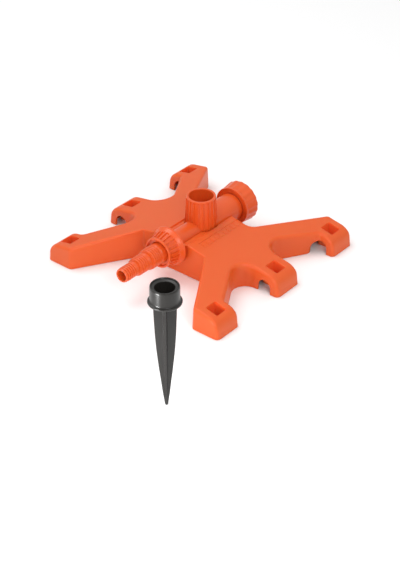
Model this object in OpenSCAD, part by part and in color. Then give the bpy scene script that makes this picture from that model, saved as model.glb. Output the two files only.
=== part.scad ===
// Base of a lawn sprinkler: a low six-legged sled carrying a feed tee with an open head socket,
// a hose tail on a screwed nut at the inlet, a screwed end cap at the outlet, and a ground spike.
// Millimetres, Z up. The origin is on the hub axis at ground level; the feed pipe runs along Y.

/* [Sled] */
// Width across the middle feet
sled_w = 212; // [180:1:240]
// Length from the front feet to the back feet
sled_l = 208; // [180:1:240]
// Height of the roof planes where they would meet over the pipe
ridge_z = 36.9; // [30:0.1:45]
// Fall of the roof towards the feet, in degrees
roof_fall = 10.3; // [5:0.1:15]
// Wall thickness of the moulding
wall = 2.2; // [1.6:0.1:3]
// Width of the middle leg
mid_w = 33; // [24:1:45]
// Half length of the plate at the inlet end
plate_front = 41; // [35:1:50]
// Half length of the plate at the outlet end
plate_back = 30; // [25:1:40]
// Half width of the sunk deck the pipe lies in
channel_hw = 16; // [15.9:0.1:20]
// Height of the channel floor
channel_z = 15.4; // [14:0.1:17]
// Height of the deck on both sides of the pipe
deck_z = 32.6; // [31:0.1:33.5]

/* [Peg holes and hose arches] */
// Side of the square peg holes
peg_sq = 13; // [8:0.5:16]
// Distance of the peg holes from the centre line
peg_x = 90; // [80:1:92]
// Distance of the corner peg holes from the hub
peg_y = 88; // [80:1:92]
// Depth of the square peg sleeves below the roof
peg_deep = 17; // [8:0.5:18]
// Width of the hose arches
arch_w = 14.5; // [12:0.5:18]
// Height of the hose arches
arch_h = 13; // [10:0.5:14]

/* [Feed tee] */
// Height of the pipe axis
pipe_z = 29.8; // [28:0.1:34]
// Outer radius of the inlet pipe
inlet_r = 10.3; // [9:0.1:12]
// Outer radius of the outlet pipe
outlet_r = 14; // [12:0.1:14.5]
// Radius of the water way
water_r = 8; // [5:0.1:9]
// Height of the socket rim
hub_top = 63.5; // [55:0.5:75]
// Radius of the head socket bore
socket_r = 11.75; // [8:0.05:12.5]
// Depth of the head socket
socket_deep = 19.5; // [10:0.5:24]
// Number of ribs round the hub
hub_ribs = 18; // [8:1:30]

/* [Inlet connection] */
// Length of each step of the hose tail
tail_step = 16.2; // [12:0.1:20]
// Outer radius of the smallest hose tail step
tail_r = 7.2; // [6:0.1:8]
// Radius gained at each further step
step_up = 1.5; // [1:0.05:2]
// Radius of the bore through the hose tail
tail_bore = 5.15; // [3:0.05:6]
// Radius of the nut at its front rim
nut_front_r = 15.1; // [14:0.1:18]
// Radius of the nut's rear flange
nut_flange_r = 19.8; // [17:0.1:24]
// Number of grip bars round the nut
nut_bars = 22; // [12:1:36]

/* [End cap] */
// Radius over the grip of the cap
cap_r = 20.9; // [17:0.1:24]
// Length of the cap
cap_l = 16.8; // [12:0.1:24]
// Number of grip flutes round the cap
cap_flutes = 18; // [8:1:30]

/* [Ground spike] */
// Total height of the spike
spike_h = 120; // [90:1:200]
// Radius of the collar
collar_r = 12.35; // [10:0.05:16]
// Width across the blades below the flange
blade_w = 19.4; // [14:0.2:26]
// Thickness of the blades
blade_t = 2.6; // [1.5:0.1:4]
// Turn of the blades about the spike's own axis, in degrees
blade_turn = 40; // [0:5:85]
// Where the loose spike stands, across the pipe
spike_x = 128; // [115:1:200]
// Where the loose spike stands, in front of the hub
spike_y = -200; // [-260:1:-130]

/* [Show] */
// Which piece to draw

/* [Hidden] */
$fn = 64;
eps = 0.01;
gap = 0.3;
hw = sled_w / 2;
hl = sled_l / 2;
foot_x = hw - 0.8;
foot_in = foot_x - 28.7;
heel_y = hl - 31;
heel_x = foot_x - 16.7;
neck_x = 64;
neck_y = 34.5;
pocket_r = 14;
pocket_x = 78;
shoulder_x = 37.5;
slope = tan(roof_fall);
inner_top = ridge_z - slope * channel_hw;
roll_r = 15;
roll_x = hw - roll_r * (sin(58) - sin(roof_fall));
roll = [for (a = [roof_fall, 20, 32, 45, 58])
    [roll_x + roll_r * (sin(a) - sin(roof_fall)), ridge_z - slope * roll_x - roll_r * (cos(roof_fall) - cos(a))]];
// thread lands: the tee ends lie inside the nut and the cap
nut_y0 = -64;
nut_y1 = -46;
web_y = -61.5;
web_t = 2;
flange_t = 2;
washer_t = 2;
tee_y0 = web_y + web_t + flange_t + washer_t + 0.6;
thread_r = 12.9;
bore_r = thread_r + gap + 0.05;
cap_y0 = 46.8;
cap_y1 = cap_y0 + cap_l;
cap_end = 2.5;
tee_y1 = cap_y1 - cap_end - washer_t - 0.4;
hub_foot_r = 14.6;
hub_top_r = 13.1;
hub_floor = channel_z + gap;
boss_r = collar_r + 0.15;
orange = [0.93, 0.40, 0.24];
deep_orange = [0.88, 0.33, 0.20];
rubber = [0.12, 0.12, 0.12];
spike_grey = [0.27, 0.25, 0.24];

function unit(v) = v / norm(v);
function arc_pts(cx, cy, r, a0, a1, n = 5) =
    [for (i = [0:n]) let (a = a0 + (a1 - a0) * i / n) [cx + r * cos(a), cy + r * sin(a)]];
function flip_x(p) = [for (i = [len(p) - 1:-1:0]) [-p[i][0], p[i][1]]];
function flip_y(p) = [for (i = [len(p) - 1:-1:0]) [p[i][0], -p[i][1]]];

// the same outline moved in by d, mitred at every corner
function inset(p, d) = let (n = len(p)) [for (i = [0:n - 1])
    let (u = unit(p[i] - p[(i + n - 1) % n]), v = unit(p[(i + 1) % n] - p[i]),
         a = [-u[1], u[0]], b = [-v[1], v[0]])
    p[i] + (a + b) * d / (1 + a * b)];

// corner leg and pocket of the quadrant at the inlet end, right side
corner = concat(
    [[foot_in, -hl], [foot_x, -hl], [foot_x, -heel_y], [heel_x, -heel_y], [neck_x + 3, -neck_y - 3.5]],
    arc_pts(pocket_x, -mid_w / 2 - pocket_r, pocket_r, 205, 90),
    [[hw, -mid_w / 2]]);
right_side = concat([[shoulder_x, -plate_front]], corner, flip_y(corner),
    [[shoulder_x + 2, plate_back + 4], [shoulder_x - 3, plate_back]]);
outline = concat(right_side, flip_x(right_side));

// roof section across the pipe, lowered by d
module roof(d) {
    rotate([90, 0, 0])
    linear_extrude(2 * sled_l, center = true)
    polygon(concat([[-hw - 2, -1], [hw + 2, -1], [hw + 2, roll[4][1] - 3.2 - d]],
        [for (i = [4:-1:0]) roll[i] - [d * 0.3, d]],
        [[channel_hw, inner_top - d], [-channel_hw, inner_top - d]],
        [for (v = roll) [-v[0] + d * 0.3, v[1] - d]],
        [[-hw - 2, roll[4][1] - 3.2 - d]]));
}

module body_block(d) {
    intersection() {
        translate([0, 0, d > 0 ? -1 : 0]) linear_extrude(50) polygon(inset(outline, d));
        roof(d);
    }
}

// repeats children at the six peg holes
module at_pegs() {
    for (x = [-peg_x, peg_x]) for (y = [-peg_y, 0, peg_y]) translate([x, y, 0]) children();
}

// inverted U that lets a hose pass under a skirt, along Y
module arch(x, y, run) {
    translate([x, y, arch_h - arch_w / 2]) {
        rotate([-90, 0, 0]) cylinder(r = arch_w / 2, h = run);
        translate([-arch_w / 2, 0, -arch_h]) cube([arch_w, run, arch_h]);
    }
}

// the trough under the pipe and the hub, grown by g
module trough(g) {
    z = channel_z - g;
    translate([-inlet_r - 0.4 - g, -plate_front - 1, z]) cube([2 * (inlet_r + 0.4 + g), plate_front + 1, 30]);
    translate([-outlet_r - 0.4 - g, 0, z]) cube([2 * (outlet_r + 0.4 + g), plate_back + 1, 30]);
    translate([0, 0, z]) cylinder(r = hub_foot_r + 1.7 + g, h = 30);
}

module base_shell() {
    color(orange) {
        difference() {
            union() {
                difference() {
                    body_block(0);
                    body_block(wall);
                }
                intersection() {
                    body_block(0);
                    union() {
                        at_pegs() translate([0, 0, ridge_z - slope * peg_x - peg_deep + 25])
                            cube([peg_sq + 2 * wall, peg_sq + 2 * wall, 50], center = true);
                        // walls and floor of the trough, and the deck beside it
                        trough(wall);
                        translate([-channel_hw - wall, -plate_front, deck_z - wall])
                            cube([2 * (channel_hw + wall), plate_front + plate_back, 10]);
                    }
                }
            }
            at_pegs() cube([peg_sq, peg_sq, 100], center = true);
            trough(0);
            translate([-channel_hw, -plate_front - 1, deck_z])
                cube([2 * channel_hw, plate_front + plate_back + 2, 20]);
            for (x = [-peg_x + 0.4, peg_x - 0.4]) {
                arch(x, -mid_w / 2 - 1, wall + 2);
                arch(x, heel_y - 12, 12 + wall + 1);
            }
        }
        // saddles under the pipe
        for (y = [-34, 22]) {
            r = (y < 0 ? inlet_r : outlet_r) + 0.1;
            difference() {
                translate([-r - 0.3, y - 1.5, channel_z])
                    cube([2 * r + 0.6, 3, pipe_z - channel_z - 4]);
                translate([0, y - 2, pipe_z]) rotate([-90, 0, 0]) cylinder(r = r, h = 4);
            }
        }
        // socket for the spike under the hub
        difference() {
            cylinder(r = boss_r + wall, h = channel_z - wall);
            translate([0, 0, -eps]) cylinder(r = boss_r, h = channel_z);
        }
    }
}

module hub_rib(a) {
    rotate([0, 0, a]) rotate([90, 0, 0]) linear_extrude(1.3, center = true)
        polygon([[12.4, deck_z - 5], [hub_foot_r + 1, deck_z - 5], [hub_foot_r + 1, inner_top],
                 [hub_top_r + 0.9, hub_top - 1.8], [12.4, hub_top - 1.8]]);
}

module feed_tee() {
    color(orange) difference() {
        union() {
            translate([0, 0, hub_floor]) cylinder(r = hub_foot_r, h = inner_top - hub_floor);
            translate([0, 0, inner_top]) cylinder(r1 = hub_foot_r, r2 = hub_top_r, h = hub_top - inner_top);
            translate([0, 0, hub_top - 1.8]) cylinder(r = hub_top_r + 1, h = 1.8);
            for (i = [0:hub_ribs - 1]) hub_rib((i + 0.5) * 360 / hub_ribs);
            translate([0, 0, pipe_z]) {
                translate([0, nut_y1 + 1, 0]) rotate([-90, 0, 0])
                    cylinder(r = inlet_r, h = -nut_y1);
                translate([0, tee_y0, 0]) rotate([-90, 0, 0])
                    cylinder(r = thread_r, h = nut_y1 + 2 - tee_y0);
                rotate([-90, 0, 0]) cylinder(r = outlet_r, h = cap_y0 - 1);
                translate([0, cap_y0 - 2, 0]) rotate([-90, 0, 0])
                    cylinder(r = thread_r, h = tee_y1 - cap_y0 + 2);
            }
        }
        translate([0, tee_y0 - 1, pipe_z]) rotate([-90, 0, 0])
            cylinder(r = water_r, h = tee_y1 - tee_y0 + 2);
        translate([0, 0, hub_top - socket_deep]) cylinder(r = socket_r, h = socket_deep + 1);
        translate([0, 0, pipe_z]) cylinder(r = 6, h = 20);
    }
}

// saw-toothed side of one hose tail step, from its tip side
function barbs(y, r, n = 5) = [for (i = [0:n - 1]) for (k = [0, 1])
    [r - (k == 0 ? 0.8 : 0), y + tail_step * (i + (k == 0 ? 0.08 : 0.85)) / n]];

module hose_tail() {
    y0 = -114;
    y3 = web_y + web_t + 0.2;
    color(orange) translate([0, 0, pipe_z]) rotate([-90, 0, 0]) rotate_extrude()
        polygon(concat(
            [[tail_bore, y0], [tail_r - 0.9, y0], [tail_r, y0 + 1.2]],
            [for (i = [0:2]) each barbs(y0 + 1.6 + i * tail_step, tail_r + i * step_up)],
            [[tail_r + 2 * step_up, y0 + 1.6 + 3 * tail_step], [tail_r + 2 * step_up, y3],
             [bore_r - 1, y3], [bore_r - 1, y3 + flange_t], [tail_bore, y3 + flange_t]]));
}

module inlet_nut() {
    n = nut_y1 - nut_y0;
    hole_r = tail_r + 2 * step_up + gap;
    cone_r = nut_flange_r - 2;
    color(orange) translate([0, nut_y0, pipe_z]) rotate([-90, 0, 0]) {
        rotate_extrude() polygon([
            [hole_r, web_y - nut_y0], [nut_front_r - 1.9, web_y - nut_y0], [nut_front_r - 1.9, 0],
            [nut_front_r, 0], [nut_front_r, 1.6], [nut_front_r - 0.7, 2.1],
            [cone_r - 2.1, n - 6], [cone_r - 0.4, n - 2], [nut_flange_r, n - 1.6], [nut_flange_r, n], [bore_r, n],
            [bore_r, web_y - nut_y0 + web_t], [hole_r, web_y - nut_y0 + web_t]]);
        for (i = [0:nut_bars - 1]) rotate([0, 0, i * 360 / nut_bars]) rotate([90, 0, 0])
            linear_extrude(1.4, center = true)
            polygon([[nut_front_r - 1.2, 1], [nut_front_r - 0.35, 1], [cone_r - 0.7, n - 5], [cone_r - 3.4, n - 5]]);
    }
}

module ring(y, r_in, r_out, t) {
    translate([0, y, pipe_z]) rotate([-90, 0, 0]) rotate_extrude()
        translate([r_in, 0]) square([r_out - r_in, t]);
}

module inlet_washer() {
    color(rubber) ring(web_y + web_t + flange_t + 0.4, water_r - 1, bore_r - 1, washer_t);
}

module cap_washer() {
    color(rubber) ring(tee_y1 + 0.2, water_r, bore_r - 0.4, washer_t);
}

module end_cap() {
    color(orange) translate([0, cap_y0, pipe_z]) rotate([-90, 0, 0]) {
        difference() {
            union() {
                cylinder(r = cap_r - 1.6, h = 1.4);
                difference() {
                    cylinder(r1 = cap_r - 2, r2 = cap_r, h = cap_l);
                    for (i = [0:cap_flutes - 1]) rotate([0, 0, (i + 0.5) * 360 / cap_flutes])
                        translate([cap_r + 9.7, 0, 0]) rotate([0, atan(2 / cap_l), 0])
                            translate([0, 0, 2]) cylinder(r = 12, h = cap_l + 2);
                }
            }
            translate([0, 0, -1]) cylinder(r = cap_r - 3, h = 2);
            // the bore that carries the thread
            cylinder(r = bore_r, h = cap_l - cap_end);
        }
    }
}

module ground_spike() {
    cup = 14;
    body = spike_h - cup - 2.2;
    // one edge of a blade from the tip up, slightly bellied
    half = [for (k = [[0.11, 0], [0.23, 0.12], [0.53, 0.35], [0.8, 0.575], [0.92, 0.825], [1, 1]])
        [k[0] * blade_w / 2, k[1] * (body + eps)]];
    color(spike_grey) translate([spike_x, spike_y, 0]) {
        difference() {
            translate([0, 0, spike_h - cup]) cylinder(r = collar_r, h = cup);
            translate([0, 0, spike_h - cup + 2]) cylinder(r = collar_r - 4, h = cup);
            translate([0, 0, spike_h - 1.3]) cylinder(r = collar_r - 1.6, h = 3);
        }
        translate([0, 0, body]) cylinder(r = collar_r + 1.95, h = 2.2);
        for (a = [0, 90]) rotate([0, 0, a + blade_turn]) rotate([90, 0, 0])
            linear_extrude(blade_t, center = true) polygon(concat(half, flip_x(half)));
    }
}

base_shell();
feed_tee();
hose_tail();
inlet_nut();
inlet_washer();
end_cap();
cap_washer();
ground_spike();
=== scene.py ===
import math

import bmesh
import bpy
from mathutils import Matrix, Vector
from mathutils.geometry import delaunay_2d_cdt


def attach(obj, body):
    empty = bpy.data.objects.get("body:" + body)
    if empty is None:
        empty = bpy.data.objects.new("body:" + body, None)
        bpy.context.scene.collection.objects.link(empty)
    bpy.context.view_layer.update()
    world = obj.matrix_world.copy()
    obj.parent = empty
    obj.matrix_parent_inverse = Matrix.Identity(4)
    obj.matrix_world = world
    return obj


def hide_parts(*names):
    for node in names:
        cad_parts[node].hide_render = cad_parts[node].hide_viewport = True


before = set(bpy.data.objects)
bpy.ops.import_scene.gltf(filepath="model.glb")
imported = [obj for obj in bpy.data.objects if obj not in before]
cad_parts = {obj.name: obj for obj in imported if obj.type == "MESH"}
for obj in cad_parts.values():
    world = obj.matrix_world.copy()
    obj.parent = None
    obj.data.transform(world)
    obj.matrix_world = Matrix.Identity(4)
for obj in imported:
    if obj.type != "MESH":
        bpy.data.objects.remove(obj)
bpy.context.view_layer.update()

# Everything below is in millimetres until mesh_object() turns it into metres.
MM = 0.001
MERGE = 0.002         # points closer than this are one point
PIPE_Z = 29.8         # height of the pipe's axis
PITCH = 1.814         # thread pitch
THREAD_ROOT = 12.25   # outside threads on the tee
THREAD_BORE = 12.55   # inside threads in the nut and the cap
SLOPE = math.tan(math.radians(10.3))
RIDGE = 36.9          # height of the sled's ridge
FLAT = 14.0           # half width of the level strip along the ridge
WALL = 2.2
CHANNEL = 16.0        # half width of the sunk deck
DECK_Z = 32.6
TROUGH_Z = 15.4
FOOT_Y = 104.0
FOOT_END = 105.2      # X where the corner legs end
WING_END = 106.0      # X where the middle legs end
ROLL = 15.0           # radius of the roll-off at the ends of the legs
PEG_X, PEG_Y = 90.0, 88.0
PEG_DEPTH = 17.0
TEE_Y0, TEE_Y1 = -54.9, 58.7
TAIL_Y = -114.0
NUT_Y, NUT_BARS = -64.0, 22
CAP_Y0, CAP_Y1, CAP_FLUTES = 46.8, 63.6, 18
HUB_RIBS = 18
WATER_R, TAIL_BORE = 8.0, 5.15
SPIKE_X, SPIKE_Y = 128.0, -200.0


# ---------------------------------------------------------------- mesh helpers
def smooth(a, b, t):
    """0 below a, 1 above b, eased between."""
    k = min(1.0, max(0.0, (t - a) / (b - a)))
    return k * k * (3 - 2 * k)


def mesh_object(name, verts, faces):
    me = bpy.data.meshes.new(name)
    me.from_pydata([(x * MM, y * MM, z * MM) for x, y, z in verts], [], faces)
    bm = bmesh.new()
    bm.from_mesh(me)
    bmesh.ops.recalc_face_normals(bm, faces=bm.faces)
    bm.to_mesh(me)
    bm.free()
    ob = bpy.data.objects.new(name, me)
    bpy.context.scene.collection.objects.link(ob)
    return ob


def boolean(ob, other, op):
    """Applies the boolean and removes the other object."""
    m = ob.modifiers.new("b", "BOOLEAN")
    m.operation = op
    m.solver = "EXACT"
    m.object = other
    dg = bpy.context.evaluated_depsgraph_get()
    me = bpy.data.meshes.new_from_object(ob.evaluated_get(dg))
    ob.modifiers.remove(m)
    old = ob.data
    ob.data = me
    bpy.data.meshes.remove(old)
    bpy.data.objects.remove(other)
    return ob


def finish_piece(ob, node, body, mat):
    """Cleans the mesh, shades it and ties it to its CAD node, body and slot."""
    me = ob.data
    bm = bmesh.new()
    bm.from_mesh(me)
    bmesh.ops.remove_doubles(bm, verts=bm.verts, dist=MERGE * MM)
    bmesh.ops.dissolve_degenerate(bm, edges=bm.edges, dist=MERGE * MM)
    bm.to_mesh(me)
    bm.free()
    me.materials.clear()
    me.materials.append(mat)
    for p in me.polygons:
        p.use_smooth = True
        p.material_index = 0
    me.set_sharp_from_angle(angle=math.radians(32))
    w = ob.modifiers.new("weighted", "WEIGHTED_NORMAL")
    w.keep_sharp = True
    w.weight = 60
    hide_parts(node)
    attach(ob, body)


def lathe(name, rings, seg, place, closed):
    """Rings of seg points each, as (height, radius or function of angle); radius 0 is a pole.
    place(angle, radius, height) gives the point. closed joins the last ring to the first."""
    verts, faces, rows = [], [], []
    for h, r in rings:
        if not callable(r) and r == 0:
            rows.append([len(verts)])
            verts.append(place(0.0, 0.0, h))
            continue
        row = []
        for i in range(seg):
            a = 2 * math.pi * i / seg
            row.append(len(verts))
            verts.append(place(a, r(a) if callable(r) else r, h))
        rows.append(row)
    pairs = list(zip(rows, rows[1:]))
    if closed:
        pairs.append((rows[-1], rows[0]))
    for a, b in pairs:
        for i in range(seg):
            j = (i + 1) % seg
            if len(a) == 1:
                faces.append((a[0], b[j], b[i]))
            elif len(b) == 1:
                faces.append((a[i], a[j], b[0]))
            else:
                faces.append((a[i], a[j], b[j], b[i]))
    return mesh_object(name, verts, faces)


def along_pipe(a, r, h):
    return (r * math.sin(a), h, PIPE_Z + r * math.cos(a))


def upright(cx, cy):
    return lambda a, r, h: (cx + r * math.cos(a), cy + r * math.sin(a), h)


def curve(points, steps=5):
    """Rounds every marked corner of a profile of (height, radius) or (height, radius, rounding)."""
    out = []
    n = len(points)
    for i, p in enumerate(points):
        q = p[2] if len(p) > 2 else 0
        if q == 0 or i == 0 or i == n - 1:
            out.append((p[0], p[1]))
            continue
        a, b, c = Vector(points[i - 1][:2]), Vector(p[:2]), Vector(points[i + 1][:2])
        u, v = (a - b), (c - b)
        q1 = min(q, 0.48 * u.length, 0.48 * v.length)
        s, e = b + u.normalized() * q1, b + v.normalized() * q1
        for k in range(steps + 1):
            t = k / steps
            m = s * (1 - t) ** 2 + b * 2 * t * (1 - t) + e * t * t
            out.append((m.x, m.y))
    return out


def thread(y0, y1, root, height):
    """Rings of a thread along Y: the radius rises and falls once a pitch, turning with the angle."""
    rings = []
    n = int(round((y1 - y0) / PITCH * 8))
    for k in range(n + 1):
        y = y0 + (y1 - y0) * k / n
        fade = smooth(y0, y0 + 1.2, y) * (1 - smooth(y1 - 1.2, y1, y))

        def r(a, y=y, fade=fade):
            ph = (y / PITCH + a / (2 * math.pi)) % 1.0
            tri = 1 - abs(2 * ph - 1)
            crest = min(1.0, max(0.0, (tri - 0.18) / 0.64))
            return root + height * crest * fade

        rings.append((y, r))
    return rings


def rounded_square(half, rad, n=5):
    pts = []
    for q in range(4):
        cx = (half - rad) * (1 if q in (0, 3) else -1)
        cy = (half - rad) * (1 if q in (0, 1) else -1)
        for k in range(n + 1):
            a = math.radians(90 * q + 90 * k / n)
            pts.append((cx + rad * math.cos(a), cy + rad * math.sin(a)))
    return pts


BOX_FACES = [(0, 3, 2, 1), (4, 5, 6, 7), (0, 1, 5, 4), (1, 2, 6, 5), (2, 3, 7, 6), (3, 0, 4, 7)]


def block(name, lo, hi):
    x0, y0, z0 = lo
    x1, y1, z1 = hi
    v = [(x, y, z) for z in (z0, z1) for x, y in ((x0, y0), (x1, y0), (x1, y1), (x0, y1))]
    return mesh_object(name, v, BOX_FACES)


def prism(name, outline, y0, y1):
    """An outline in X and Z, run along Y."""
    n = len(outline)
    v = [(x, y0, z) for x, z in outline] + [(x, y1, z) for x, z in outline]
    f = [tuple(range(n)), tuple(range(2 * n - 1, n - 1, -1))]
    f += [(i, (i + 1) % n, n + (i + 1) % n, n + i) for i in range(n)]
    return mesh_object(name, v, f)


# ---------------------------------------------------------------- materials
def plastic(name, colour, deep, rough, sss, grain, shine=0.5, painted_glow=None):
    """Moulded plastic: faint tone drift, a little light carried inside, fine grain on the surface.
    The last argument is a painted glow: a lighter tone painted where the mesh is marked, on walls
    slender enough that light would come through them."""
    m = bpy.data.materials.new(name)
    m.use_nodes = True
    nt = m.node_tree
    b = nt.nodes["Principled BSDF"]
    co = nt.nodes.new("ShaderNodeTexCoord")
    drift = nt.nodes.new("ShaderNodeTexNoise")
    drift.inputs["Scale"].default_value = 22.0
    drift.inputs["Detail"].default_value = 3.0
    mix = nt.nodes.new("ShaderNodeMix")
    mix.data_type = "RGBA"
    mix.inputs["A"].default_value = (*colour, 1)
    mix.inputs["B"].default_value = (*deep, 1)
    nt.links.new(co.outputs["Object"], drift.inputs["Vector"])
    nt.links.new(drift.outputs["Fac"], mix.inputs["Factor"])
    tone = mix.outputs["Result"]
    # painted glow: a lighter colour mixed in on the marked faces, standing in for light in the peg
    # holes
    if painted_glow:
        mark = nt.nodes.new("ShaderNodeAttribute")
        mark.attribute_name = "painted_glow"
        glow = nt.nodes.new("ShaderNodeMix")
        glow.data_type = "RGBA"
        glow.inputs["B"].default_value = (*painted_glow, 1)
        nt.links.new(mark.outputs["Fac"], glow.inputs["Factor"])
        nt.links.new(tone, glow.inputs["A"])
        tone = glow.outputs["Result"]
    nt.links.new(tone, b.inputs["Base Color"])
    fine = nt.nodes.new("ShaderNodeTexNoise")
    fine.inputs["Scale"].default_value = 1400.0
    fine.inputs["Detail"].default_value = 2.0
    nt.links.new(co.outputs["Object"], fine.inputs["Vector"])
    bump = nt.nodes.new("ShaderNodeBump")
    bump.inputs["Strength"].default_value = grain
    bump.inputs["Distance"].default_value = 0.0002
    nt.links.new(fine.outputs["Fac"], bump.inputs["Height"])
    nt.links.new(bump.outputs["Normal"], b.inputs["Normal"])
    b.inputs["Roughness"].default_value = rough
    b.inputs["IOR"].default_value = 1.49
    b.inputs["Specular IOR Level"].default_value = shine
    b.inputs["Subsurface Weight"].default_value = sss
    b.inputs["Subsurface Radius"].default_value = (1.0, 0.2, 0.07)
    b.inputs["Subsurface Scale"].default_value = 0.003
    return m


# the last colour is a painted glow on the peg sleeves' walls, in place of light reaching into the
# peg holes
ORANGE = plastic("orange_moulding", (0.74, 0.108, 0.016), (0.72, 0.101, 0.014),
                 rough=0.42, sss=0.4, grain=0.12, shine=0.4, painted_glow=(0.93, 0.13, 0.03))
ORANGE_GLOSS = plastic("orange_fittings", (0.74, 0.098, 0.014), (0.72, 0.092, 0.013),
                       rough=0.30, sss=0.12, grain=0.06)
RUBBER = plastic("black_rubber", (0.02, 0.02, 0.02), (0.028, 0.028, 0.027),
                 rough=0.7, sss=0.0, grain=0.3)
GREY = plastic("dark_grey_moulding", (0.012, 0.0105, 0.009), (0.017, 0.015, 0.013),
               rough=0.31, sss=0.0, grain=0.05)

# ---------------------------------------------------------------- sled
RIGHT = [  # x, y, rounding of the plan's right half, from the inlet end to the outlet end
    (37.5, -41.0, 2.2), (76.0, -FOOT_Y, 4.4), (FOOT_END, -FOOT_Y, 4.2), (FOOT_END, -73.0, 4.2),
    (88.0, -73.0, 4.0), (54.4, -16.5, 14.0), (WING_END, -16.5, 4.2),
    (WING_END, 16.5, 4.2), (54.4, 16.5, 14.0), (88.0, 73.0, 4.0), (FOOT_END, 73.0, 4.2),
    (FOOT_END, FOOT_Y, 4.2), (76.0, FOOT_Y, 4.4), (36.9, 29.4, 9.0)]
CORNERS = RIGHT + [(-x, y, r) for x, y, r in reversed(RIGHT)]
XROLL = (92.4, 94.0, 95.5, 96.9, 98.2, 99.4, 100.5, 101.4)  # where the roll-off gets points
XMARKS = [s * x for x in (FLAT, 60.0, 80.0) + XROLL + (102.3,) for s in (1, -1)]


def outline_samples():
    """(point, inward normal) round the sled's plan, anticlockwise."""
    out = []
    n = len(CORNERS)
    ends = []
    for i in range(n):
        p = Vector(CORNERS[i][:2])
        a, c = Vector(CORNERS[i - 1][:2]), Vector(CORNERS[(i + 1) % n][:2])
        u, v = (p - a).normalized(), (c - p).normalized()
        nu, nv = Vector((-u.y, u.x)), Vector((-v.y, v.x))
        rad = CORNERS[i][2]
        left = u.x * v.y - u.y * v.x > 0
        sgn = 1 if left else -1
        cen = p + sgn * (nu + nv) * rad / (1 + nu.dot(nv))
        steps = 10 if rad > 6 else 7
        a0, a1 = math.atan2(nu.y, nu.x), math.atan2(nv.y, nv.x)
        while a1 - a0 > math.pi:
            a1 -= 2 * math.pi
        while a1 - a0 < -math.pi:
            a1 += 2 * math.pi
        arc = []
        for k in range(steps + 1):
            t = a0 + (a1 - a0) * k / steps
            m = Vector((math.cos(t), math.sin(t)))
            arc.append((cen - sgn * m * rad, m))
        ends.append(arc)
    for i in range(n):
        out += ends[i]
        s, e = ends[i][-1], ends[(i + 1) % n][0]
        d = e[0] - s[0]
        if abs(d.x) > 1e-6:
            cuts = sorted(t for t in ((x - s[0].x) / d.x for x in XMARKS) if 0.02 < t < 0.98)
        else:
            cuts = [k / 4 for k in range(1, 4)]
        out += [(s[0] + d * t, s[1]) for t in cuts]
    return out


SAMPLES = outline_samples()


def edge_radius(p):
    """Rounding of the top edge: small along the plate's inlet end, larger on the legs."""
    if abs(p.x) < 62 and p.y < -40:
        return 1.2 + 2.2 * smooth(44, 62, -p.y)
    return 3.4


EDGE = [edge_radius(p) for p, _ in SAMPLES]


def at(d, k=0.0):
    """The outline moved in by d and by k times the local edge rounding."""
    moved = ((p, m, d + k * e) for (p, m), e in zip(SAMPLES, EDGE))
    return [(p.x + m.x * g, p.y + m.y * g) for p, m, g in moved]


def roof(x, y):
    """Height of the sled's top: two planes falling outwards that roll over at the legs' ends."""
    ax = abs(x)
    end = WING_END if abs(y) < 40 else FOOT_END
    xc = end - ROLL
    xt = xc + ROLL * math.sin(math.atan(SLOPE))
    if ax <= xt:
        return RIDGE - SLOPE * max(ax, FLAT)
    zc = RIDGE - SLOPE * xt - ROLL * math.cos(math.atan(SLOPE))
    return zc + math.sqrt(max(0.0, ROLL * ROLL - min(ax - xc, ROLL) ** 2))


def inside(pt, loop):
    """Whether the point lies in the loop."""
    x, y = pt
    c = False
    for i in range(len(loop)):
        x1, y1 = loop[i - 1]
        x2, y2 = loop[i]
        if (y1 > y) != (y2 > y) and x < (x2 - x1) * (y - y1) / (y2 - y1) + x1:
            c = not c
    return c


def away(pt, loop, gap):
    """Whether the point is at least gap from every edge of the loop."""
    x, y = pt
    for i in range(len(loop)):
        ax, ay = loop[i - 1]
        bx, by = loop[i]
        dx, dy = bx - ax, by - ay
        l2 = dx * dx + dy * dy
        t = 0 if l2 == 0 else max(0, min(1, ((x - ax) * dx + (y - ay) * dy) / l2))
        if (x - ax - t * dx) ** 2 + (y - ay - t * dy) ** 2 < gap * gap:
            return False
    return True


def fill(loop, holes, extra):
    """Points and triangles between a loop and its holes; loop and hole points come first."""
    pts = list(loop)
    edges = [(i, (i + 1) % len(loop)) for i in range(len(loop))]
    for h in holes:
        o = len(pts)
        pts += h
        edges += [(o + i, o + (i + 1) % len(h)) for i in range(len(h))]
    for e in extra:
        if inside(e, loop) and away(e, loop, 0.6) and not any(inside(e, h) for h in holes):
            if all(away(e, h, 0.5) for h in holes):
                pts.append(e)
    vo, _, tris, ov, _, _ = delaunay_2d_cdt([Vector(p) for p in pts], edges, [], 0, 1e-5)
    back = {k: src[0] for k, src in enumerate(ov) if src}
    good = []
    for t in tris:
        if any(k not in back for k in t):
            continue
        c = (sum(vo[k].x for k in t) / 3, sum(vo[k].y for k in t) / 3)
        if inside(c, loop) and not any(inside(c, h) for h in holes):
            good.append(tuple(back[k] for k in t))
    return pts, good


PEGS = [(x, y) for x in (-PEG_X, PEG_X) for y in (-PEG_Y, 0.0, PEG_Y)]


def plate(x0, x1, y0, y1, h0, h1, name):
    """A slab lying on the right half of the roof, from h0 to h1 above it."""
    n = Vector((SLOPE, 0, 1)).normalized()
    v = [(x + n.x * h, y, RIDGE - SLOPE * x + n.z * h)
         for h in (h0, h1) for x, y in ((x0, y0), (x1, y0), (x1, y1), (x0, y1))]
    return mesh_object(name, v, BOX_FACES)


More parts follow.
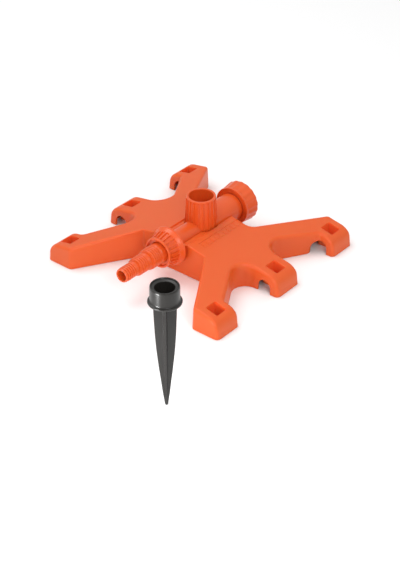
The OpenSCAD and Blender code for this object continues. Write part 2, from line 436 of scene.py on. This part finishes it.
def sled_shell():
    """The open shell with its peg sleeves, before anything is cut from it."""
    verts, faces = [], []

    def ring(points, zs):
        o = len(verts)
        verts.extend((x, y, z) for (x, y), z in zip(points, zs))
        return list(range(o, o + len(points)))

    def bridge(a, b):
        n = len(a)
        faces.extend((a[i], a[(i + 1) % n], b[(i + 1) % n], b[i]) for i in range(n))

    def side(levels):
        rows = []
        for d, k, z in levels:
            p = at(d, k)
            rows.append((p, ring(p, [z(x, y, e) for (x, y), e in zip(p, EDGE)])))
        for (_, a), (_, b) in zip(rows, rows[1:]):
            bridge(a, b)
        return rows

    def rolled(d0, part, low, steps):
        """Quarter round of part times the local edge rounding, from the wall up to the top."""
        out = []
        for k in range(steps + 1):
            f = math.radians(90 * k / steps)
            out.append((d0, part * (1 - math.cos(f)),
                        lambda x, y, e, s=math.sin(f): roof(x, y) - low - part * e * (1 - s)))
        return out

    # the walls lean in a little from the ground up, as a moulding's draft
    outer = side([(-0.1, 0, lambda x, y, e: 0.0), (-0.4, 0, lambda x, y, e: 0.35),
                  (-0.05, 0, lambda x, y, e: 0.5 * (roof(x, y) - 3.4))] + rolled(0.35, 1.0, 0.0, 7))
    inner = side([(WALL - 0.5, 0, lambda x, y, e: 0.0),
                  (WALL - 0.1, 0, lambda x, y, e: 0.5 * (roof(x, y) - WALL - 1.6))]
                 + rolled(WALL + 0.3, 0.42, WALL, 3))
    bridge(inner[0][1], outer[0][1])

    rows = [s * x for x in (FLAT,) + XROLL for s in (1, -1)]
    extra = [(x, -103.0 + 2.0 * k) for x in rows for k in range(104)]

    def top(loop, loop_ids, half, rad, low):
        holes = [[(px + x, py + y) for x, y in rounded_square(half, rad)] for px, py in PEGS]
        pts, tris = fill(loop, holes, extra)
        ids = list(loop_ids)
        for x, y in pts[len(loop):]:
            ids.append(len(verts))
            verts.append((x, y, roof(x, y) - low))
        faces.extend(tuple(ids[k] for k in t) for t in tris)
        hole_ids, o = [], len(loop)
        for h in holes:
            hole_ids.append(ids[o:o + len(h)])
            o += len(h)
        return hole_ids

    upper = top(outer[-1][0], outer[-1][1], 7.15, 1.5, 0.0)
    lower = top(inner[-1][0], inner[-1][1], 8.7, 2.2, WALL)
    foot = RIDGE - SLOPE * PEG_X - PEG_DEPTH
    for (px, py), up, lo in zip(PEGS, upper, lower):

        def square(half, rad, z):
            p = [(px + x, py + y) for x, y in rounded_square(half, rad)]
            return ring(p, [z(x, y) for x, y in p])

        chain = [up,
                 square(6.75, 1.3, lambda x, y: roof(x, y) - 0.18),
                 square(6.5, 1.2, lambda x, y: roof(x, y) - 0.7),
                 square(6.35, 1.15, lambda x, y: foot + 0.2),
                 square(6.6, 1.3, lambda x, y: foot),
                 square(8.35, 2.0, lambda x, y: foot),
                 square(8.5, 2.1, lambda x, y: foot + 0.25), lo]
        for a, b in zip(chain, chain[1:]):
            bridge(a, b)
    return mesh_object("sled", verts, faces)


def build_sled():
    sled = sled_shell()
    hub_r, in_r, out_r = 16.3, 10.4, 14.1  # half widths of the trough at the hub, inlet and outlet
    far = 60.0                             # clear of the sled on every side

    def along_z(name, profile):
        return lathe(name, profile, 96, upright(0, 0), False)

    def trough(g, y0, y1, z0, z1, op):
        """The trough's space, widened by g, joined to the sled or cut from it."""
        drum = [(z0, 0), (z0, hub_r + g), (z1, hub_r + g), (z1, 0)]
        boolean(sled, along_z("round", drum), op)
        boolean(sled, block("in", (-in_r - g, y0, z0), (in_r + g, 1.0, z1)), op)
        boolean(sled, block("out", (-out_r - g, -1.0, z0), (out_r + g, y1, z1)), op)

    # the deck under the pipe, the boss of the spike socket and the trough's walls
    y0, y1 = -39.9, 28.4
    boolean(sled, block("deck", (-17.4, y0, DECK_Z - WALL), (17.4, y1, DECK_Z - 0.3)), "UNION")
    boss = [(13.8, 0), (13.8, 14.7), (0.3, 14.9), (0.0, 14.6), (0.0, 0)]
    boolean(sled, along_z("boss", boss), "UNION")
    trough(WALL, y0, y1, TROUGH_Z - WALL, DECK_Z - 0.6, "UNION")
    trough(0.0, -far, far, TROUGH_Z, far, "DIFFERENCE")
    sock = [(13.0, 0), (13.0, 12.5), (0.5, 12.5), (-0.2, 13.1), (-0.2, 0)]
    boolean(sled, along_z("sock", sock), "DIFFERENCE")
    # the sunk deck, with a bevel along its rim
    rim, lip = RIDGE - SLOPE * CHANNEL, CHANNEL + 1.1
    half = [(CHANNEL, DECK_Z), (CHANNEL, rim - 0.9), (lip, rim + 0.02), (lip, far)]
    recess = half + [(-x, z) for x, z in reversed(half)]
    boolean(sled, prism("recess", recess, -far, far), "DIFFERENCE")
    # saddles under the pipe
    for y, r in ((-34.0, in_r), (22.0, out_r)):
        s = block("saddle", (-r - 0.6, y - 1.5, 14.8), (r + 0.6, y + 1.5, PIPE_Z - 4))
        cut = [(y - 3, 0), (y - 3, r), (y + 3, r), (y + 3, 0)]
        boolean(s, lathe("cut", cut, 96, along_pipe, False), "DIFFERENCE")
        boolean(sled, s, "UNION")
    # hose arches in the skirts
    r, top_z = 7.25, 13.0
    for cx in (-89.6, 89.6):
        arch = [(cx - r - 0.25, -1.0), (cx + r + 0.25, -1.0)]
        arch += [(cx + r * math.cos(math.radians(t)), top_z - r + r * math.sin(math.radians(t)))
                 for t in range(0, 181, 9)]
        for y0, y1 in ((-19.0, -12.6), (60.0, 76.4)):
            boolean(sled, prism("arch", arch, y0, y1), "DIFFERENCE")
    # blank recessed band beside the channel, with a row of plain pads
    boolean(sled, plate(22.2, 31.2, -31.0, 26.0, -0.4, 2.0, "band"), "DIFFERENCE")
    for k in range(9):
        y = -28.6 + 6.0 * k
        boolean(sled, plate(24.0, 29.4, y, y + 4.0, -0.8, -0.08, "pad"), "UNION")
    # marks the peg sleeves' walls for the painted glow, a lighter colour that stands in for light
    # inside the peg holes
    painted_glow = sled.data.attributes.new("painted_glow", "FLOAT", "POINT")
    for v in sled.data.vertices:
        x, y, z = v.co / MM
        near = any(max(abs(x - px), abs(y - py)) < 7.0 for px, py in PEGS)
        painted_glow.data[v.index].value = 1.0 if near and z < roof(x, y) - 0.4 else 0.0
    return sled


# ---------------------------------------------------------------- feed tee
def build_tee():
    y0, y1 = TEE_Y0, TEE_Y1
    front = [(y0, 0)] + curve([(y0, 7.0), (y0, 12.0, 0.4), (y0 + 0.5, THREAD_ROOT)], 3)
    front += thread(y0 + 0.6, -45.0, THREAD_ROOT, 0.85)
    front += curve([(-44.9, THREAD_ROOT), (-44.4, 12.3, 0.3), (-43.6, 10.6, 0.6), (-42.4, 10.3, 0.4),
                    (-40.5, 10.3)], 4)
    front += [(-38.0 + 2.5 * k, 10.3) for k in range(17)] + [(2.0, 0)]
    tee = lathe("tee", front, 96, along_pipe, False)
    back = [(-2.0, 0)] + [(-2.0 + 2.5 * k, 14.0) for k in range(20)]
    back += [(46.0, 13.85), (46.4, 13.4), (47.6, THREAD_ROOT)]
    back += thread(47.8, y1 - 0.5, THREAD_ROOT, 0.85)
    back += curve([(y1 - 0.3, 12.2), (y1, 12.0, 0.3), (y1, 7.0)], 3)
    back += [(y1, 0)]
    boolean(tee, lathe("back", back, 96, along_pipe, False), "UNION")

    z0, z1 = 33.0, 61.6  # the hub tapers between these heights

    def ribbed(z):
        """Radius round the hub at this height, ribs included."""
        t = (z - z0) / (z1 - z0)
        core = 14.6 - 1.5 * min(1.0, max(0.0, t))
        on = 1 - smooth(z1 - 0.3, z1 - 0.05, z)

        def r(a):
            k = (a / (2 * math.pi) * HUB_RIBS + 0.5) % 1.0
            w = abs(k - 0.5) * 2 * math.pi * core / HUB_RIBS
            return core + 1.15 * on * (1 - smooth(0.45, 0.6, w))
        return r

    hub = [(15.7, 0), (15.7, 14.3), (16.0, 14.6)] + [(z, 14.6) for z in (19.0, 22.0, 25.0, 27.58)]
    hub += [(z, ribbed(z0)) for z in (27.6, 29.0, 31.0)]
    rise = [z0 + (z1 - z0 - 1.2) * k / 6 for k in range(7)] + [60.9, 61.3, 61.45, 61.6]
    hub += [(z, ribbed(z)) for z in rise]
    hub += curve([(61.65, 13.2), (61.75, 14.1, 0.2), (63.5, 14.1, 0.5), (63.5, 12.0, 0.3),
                  (63.2, 11.0)], 5)
    hub += [(63.2, 0)]
    boolean(tee, lathe("hub", hub, HUB_RIBS * 16, upright(0, 0), False), "UNION")
    # water ways and head socket
    bore = [(y0 - 1, 0), (y0 - 1, WATER_R + 1), (y0 + 0.5, WATER_R), (y1 - 0.5, WATER_R),
            (y1 + 1, WATER_R + 1), (y1 + 1, 0)]
    boolean(tee, lathe("bore", bore, 80, along_pipe, False), "DIFFERENCE")
    socket = [(PIPE_Z, 0), (PIPE_Z, 6.0), (43.6, 6.0), (44.0, 6.4), (44.0, 11.3), (44.5, 11.75),
              (62.9, 11.75), (63.3, 11.95), (64.2, 12.6), (64.2, 0)]
    boolean(tee, lathe("socket", socket, 96, upright(0, 0), False), "DIFFERENCE")
    return tee


# ---------------------------------------------------------------- inlet connection
def build_tail():
    y = TAIL_Y
    prof = curve([(y + 3.0, TAIL_BORE), (y + 0.4, 5.2, 0.3), (y, 5.75, 0.35), (y, 6.35, 0.4),
                  (y + 1.6, 7.0, 0.6), (y + 2.2, 6.95)], 4)
    count, step = 5, 2.55
    barb = [(0.0, -1.0), (0.4, -1.0), (0.6, -0.4), (0.85, -0.2), (2.05, 0.0), (2.25, -0.12),
            (2.42, -0.5)]
    shoulder = [(0.1, -0.3), (0.6, -0.12), (2.0, -0.08), (2.3, -0.5), (2.65, -0.5), (2.85, 0.3),
                (3.0, 1.0)]
    for start, rad, last in ((y + 2.4, 7.2, False), (y + 18.1, 8.75, False), (y + 34.4, 10.2, True)):
        for k in range(count):
            prof += [(start + k * step + dy, rad + dr) for dy, dr in barb]
        if not last:
            prof += [(start + count * step + dy, rad + dr) for dy, dr in shoulder]
    prof += [(-66.6, 9.9), (-66.2, 10.2), (-60.2, 10.2), (-59.45, 10.25)]
    prof += curve([(-59.3, 10.4), (-59.3, 12.0, 0.3), (-57.3, 12.0, 0.3), (-57.3, 5.6, 0.3),
                   (-57.0, TAIL_BORE)], 3)
    prof += [(-80.0, TAIL_BORE), (-100.0, TAIL_BORE)]
    return lathe("tail", prof, 96, along_pipe, True)


def build_nut():
    y = NUT_Y

    def cone(t):
        """Radius of the nut's grip t behind its front, flaring into the rear flange."""
        if t < 11.5:
            return 14.95 + (16.95 - 14.95) * ((t - 2.6) / 8.9)
        k = (t - 11.5) / 4.4
        return 16.95 + 2.2 * (0.55 * k + 0.45 * k * k)

    def cut(t):
        """The grip's radius with its slots."""
        depth = 1.5 * smooth(2.6, 3.0, t) * (1 - smooth(12.3, 13.0, t))

        def r(a):
            w = abs((a / (2 * math.pi) * NUT_BARS) % 1.0 - 0.5)
            return cone(t) - depth * (1 - smooth(0.32, 0.37, w))
        return r

    front = curve([(2.6, 10.6), (2.6, 13.0, 0.5), (0.25, 13.35, 0.2), (0.0, 13.7, 0.3),
                   (0.0, 14.8, 0.35), (0.5, 15.2, 0.3), (1.9, 15.2, 0.3), (2.4, 14.95)], 4)
    grip = [(t, cut(t)) for t in (2.6, 2.7, 2.8, 2.9, 3.0, 5.0, 7.0, 9.0, 11.0, 12.3, 12.45, 12.65,
                                  12.85, 13.0, 14.0, 15.0, 15.7)]
    flange = curve([(16.2, 19.2), (16.4, 19.8, 0.2), (17.9, 19.8, 0.35), (18.0, 18.6, 0.3),
                    (17.9, 15.0), (17.9, 13.6, 0.2), (17.5, 13.35)], 4)
    rings = [(y + t, r) for t, r in front + grip + flange]
    rings += reversed(thread(-59.4, y + 17.2, THREAD_BORE, 0.8))
    rings += [(-59.5, 12.5), (-59.5, 11.5), (-59.5, 10.7), (-59.7, 10.5), (-61.2, 10.5)]
    return lathe("nut", rings, NUT_BARS * 16, along_pipe, True)


def ring_washer(name, y0, y1, r0, r1):
    p = curve([(y0 + 1.0, r1), (y0, r1, 0.3), (y0, r0, 0.3), (y1, r0, 0.3), (y1, r1, 0.3),
               (y0 + 1.01, r1)], 3)
    return lathe(name, p[1:], 80, along_pipe, True)


# ---------------------------------------------------------------- end cap
def build_cap():
    y0, y1 = CAP_Y0, CAP_Y1

    def skirt(t, drop=0.0):
        """Radius round the cap t from its open end, flutes included."""
        on = smooth(1.9, 2.9, t)

        def r(a):
            w = abs((a / (2 * math.pi) * CAP_FLUTES) % 1.0 - 0.5) * 2
            return 18.9 + 2.0 * t / (y1 - y0) - drop - 0.42 * on * (1 - smooth(0.1, 0.9, w))
        return r

    rings = [(y1, 0), (y1, 6.0), (y1, 12.0), (y1, 17.4), (y1 - 0.03, 18.6)]
    for back, t, drop in ((0.25, 16.5, 0.95), (0.7, 16.1, 0.4), (1.4, 15.4, 0.05)):
        rings.append((y1 - back, skirt(t, drop)))
    rings += [(y0 + t, skirt(t)) for t in (14.0, 11.0, 8.0, 5.0, 3.4, 2.9, 2.5, 2.1, 1.9)]
    mouth = curve([(1.6, 19.1), (1.4, 19.3, 0.15), (0.0, 19.3, 0.35), (0.0, 17.9, 0.3),
                   (1.0, 17.8, 0.3), (1.0, 14.2, 0.4), (1.5, 13.35)], 3)
    rings += [(y0 + t, r) for t, r in mouth]
    rings += thread(y0 + 2.0, y0 + 12.2, THREAD_BORE, 0.8)
    web = [(12.4, 13.3), (14.2, 13.3), (14.3, 13.0), (14.3, 6.0), (14.3, 0)]
    rings += [(y0 + t, r) for t, r in web]
    return lathe("cap", rings, CAP_FLUTES * 16, along_pipe, False)


# ---------------------------------------------------------------- ground spike
def build_spike():
    # collar: cup, rim, outside wall and flange
    collar = curve([(108.2, 8.0, 0.5), (118.2, 8.4, 0.5), (118.7, 10.7, 0.3), (119.4, 10.9, 0.3),
                    (120.0, 11.3, 0.3), (120.0, 11.9, 0.5), (118.6, 12.35, 0.8), (107.2, 12.4, 0.6),
                    (106.2, 12.7, 0.5), (105.9, 14.1, 0.4), (105.0, 14.35, 0.6), (103.9, 14.0, 0.5),
                    (103.8, 9.0)], 5)
    # the cup's corner is bevelled, so the first point of the curve is left out
    prof = [(108.2, 0), (108.2, 7.0)] + collar[1:] + [(103.8, 0)]
    spike = lathe("spike", prof, 96, upright(SPIKE_X, SPIKE_Y), False)

    # blades: a plus-shaped section that narrows to the tip, as (height, half width)
    turn = math.radians(40)
    belly = [(0.0, 1.05), (2.0, 1.5), (12.0, 2.9), (24.0, 4.2), (36.0, 5.6), (48.0, 6.85),
             (60.0, 7.9), (72.0, 8.65), (84.0, 9.15), (94.0, 9.5), (104.4, 9.7)]
    verts, faces, rows = [], [], []
    for z, w in belly:
        th = min(0.75 + 0.55 * z / 103.0, w * 0.62)     # half thickness of a blade
        f = min(1.6, 0.35 + z * 0.02, 0.5 * (w - th))   # fillet between two blades
        rd = min(0.45, th * 0.5)                        # rounding of a blade's edge
        row = []
        for q in range(4):
            a = turn + math.pi / 2 * q
            pts = [(w - rd, -th), (w - rd * 0.3, -th + rd * 0.3), (w, -th + rd), (w, th - rd),
                   (w - rd * 0.3, th - rd * 0.3), (w - rd, th),
                   (th + f, th), (th + f * 0.3, th + f * 0.3), (th, th + f)]
            for x, y in pts:
                row.append(len(verts))
                verts.append((SPIKE_X + x * math.cos(a) - y * math.sin(a),
                              SPIKE_Y + x * math.sin(a) + y * math.cos(a), z))
        rows.append(row)
    n = len(rows[0])
    for a, b in zip(rows, rows[1:]):
        faces += [(a[i], a[(i + 1) % n], b[(i + 1) % n], b[i]) for i in range(n)]
    faces += [tuple(rows[0]), tuple(rows[-1])]
    boolean(spike, mesh_object("blades", verts, faces), "UNION")
    return spike


finish_piece(build_sled(), "base_shell", "base", ORANGE)
finish_piece(build_tee(), "feed_tee", "base", ORANGE_GLOSS)
finish_piece(build_tail(), "hose_tail", "tail", ORANGE_GLOSS)
finish_piece(ring_washer("washer_in", -57.1, -55.1, 7.0, 12.0),
             "inlet_washer", "tail", RUBBER)
finish_piece(build_nut(), "inlet_nut", "nut", ORANGE_GLOSS)
finish_piece(ring_washer("washer_cap", 58.9, 60.9, 8.0, 12.9),
             "cap_washer", "cap_seal", RUBBER)
finish_piece(build_cap(), "end_cap", "cap", ORANGE_GLOSS)
finish_piece(build_spike(), "ground_spike", "spike", GREY)


# ---------------------------------------------------------------- floor, light, camera
def build_stage():
    """A plain pale floor, in metres, a hair below the feet."""
    n, half, z = 24, 9.0, -0.0002
    side = [-half + 2 * half * i / n for i in range(n + 1)]
    v = [(x, y, z) for y in side for x in side]
    m = n + 1
    f = [(j * m + i, j * m + i + 1, (j + 1) * m + i + 1, (j + 1) * m + i)
         for j in range(n) for i in range(n)]
    me = bpy.data.meshes.new("floor")
    me.from_pydata(v, [], f)
    floor = bpy.data.objects.new("floor", me)
    bpy.context.scene.collection.objects.link(floor)
    pale = bpy.data.materials.new("pale_floor")
    pale.use_nodes = True
    b = pale.node_tree.nodes["Principled BSDF"]
    b.inputs["Base Color"].default_value = (0.96, 0.96, 0.96, 1)
    b.inputs["Roughness"].default_value = 0.75
    b.inputs["Specular IOR Level"].default_value = 0.15
    me.materials.append(pale)


def area_light(name, loc, target, size, power):
    d = bpy.data.lights.new(name, "AREA")
    d.shape = "DISK"
    d.size = size
    d.energy = power
    o = bpy.data.objects.new(name, d)
    o.location = loc
    o.rotation_euler = (Vector(target) - Vector(loc)).to_track_quat("-Z", "Y").to_euler()
    o.visible_camera = False
    bpy.context.scene.collection.objects.link(o)


build_stage()
area_light("key", (-0.6, -0.15, 1.35), (0, 0, 0.02), 1.0, 7.3)
area_light("fill", (1.05, -0.7, 0.9), (0, 0, 0.02), 0.6, 5.7)
# a small lamp close to the spike, for the light streak on its collar
area_light("streak", (0.105, -0.34, 0.07), (0.128, -0.2, 0.08), 0.05, 0.26)

# the world is brighter overhead than at the horizon
world = bpy.data.worlds.new("studio")
world.use_nodes = True
wn = world.node_tree
back = wn.nodes["Background"]
co = wn.nodes.new("ShaderNodeTexCoord")
split = wn.nodes.new("ShaderNodeSeparateXYZ")
ramp = wn.nodes.new("ShaderNodeMapRange")
for k, v in (("From Min", -0.05), ("From Max", 0.75), ("To Min", 0.38), ("To Max", 0.83)):
    ramp.inputs[k].default_value = v
wn.links.new(co.outputs["Generated"], split.inputs["Vector"])
wn.links.new(split.outputs["Z"], ramp.inputs["Value"])
wn.links.new(ramp.outputs["Result"], back.inputs["Strength"])
back.inputs["Color"].default_value = (1, 1, 1, 1)
scene = bpy.context.scene
scene.world = world
scene.view_settings.view_transform = "Standard"

FOCAL, FRAME_W = 1436.88, 400.0  # focal length and width of the frame, in one unit
SENSOR = 36.0
cam_data = bpy.data.cameras.new("camera")
cam_data.sensor_fit = "HORIZONTAL"
cam_data.sensor_width = SENSOR
cam_data.lens = SENSOR * FOCAL / FRAME_W
cam_data.clip_end = 20.0
cam = bpy.data.objects.new("camera", cam_data)
theta, elev = math.radians(39.64), math.radians(34.12)
level = math.cos(elev)
fwd = Vector((-math.sin(theta) * level, math.cos(theta) * level, -math.sin(elev)))
right = Vector((math.cos(theta), math.sin(theta), 0))
up = right.cross(fwd)
rot = Matrix((right, up, -fwd)).transposed().to_4x4()
cam.matrix_world = Matrix.Translation(Vector((0.7496, -0.9065, 0.7577))) @ rot
scene.collection.objects.link(cam)
scene.camera = cam
